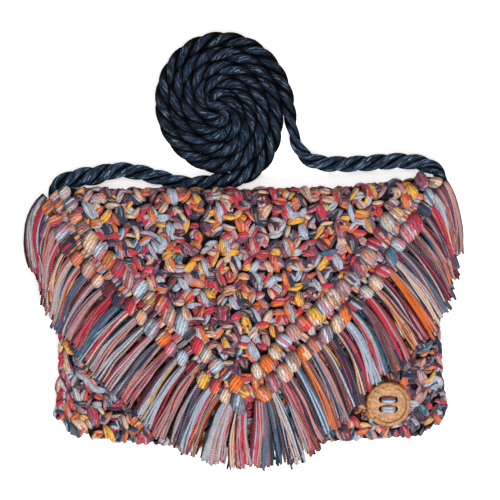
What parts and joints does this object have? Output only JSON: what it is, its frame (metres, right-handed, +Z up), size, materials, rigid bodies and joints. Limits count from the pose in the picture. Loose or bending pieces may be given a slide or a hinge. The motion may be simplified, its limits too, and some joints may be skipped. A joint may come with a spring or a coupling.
{
  "type": "macrame sling bag",
  "caption": "Small knotted-yarn sling bag lying flat, with a V-shaped fringed flap over an open pouch, a wooden button and a coiled twisted-rope strap",
  "frame": {"origin": "on the floor, under the middle of the bag's box without its strap", "axes": "+X across the bag to the viewer's right, +Y from the fringe tip to the folded top edge, +Z up out of the front as the bag lies on its back"},
  "size_m": [0.295, 0.2899, 0.0291],
  "materials": {
    "knotted_yarn": "variegated yarn, matt, knotted",
    "hitched_bar": "variegated yarn, matt, hitched",
    "fringe_yarn": "variegated loose yarn, matt",
    "lacing_left_yarn": "salmon and red yarn, matt",
    "lacing_right_yarn": "navy yarn, matt",
    "button_wood": "turned pale wood, satin",
    "stitch_yarn": "grey and lavender yarn, matt",
    "strap_rope": "navy three-strand cotton rope, matt"
  },
  "bodies": {
    "root": {"pouch": "knotted_yarn", "flap": "knotted_yarn", "inner_bar_left": "hitched_bar", "inner_bar_right": "hitched_bar", "fringe_left": "fringe_yarn", "fringe_right": "fringe_yarn", "side_lacing_left": "lacing_left_yarn", "side_lacing_right": "lacing_right_yarn", "button": "button_wood", "button_stitch_upper": "stitch_yarn", "button_stitch_lower": "stitch_yarn", "strap_left": "strap_rope", "strap_right": "strap_rope", "strap_coil": "strap_rope"}
  },
  "joints": []
}
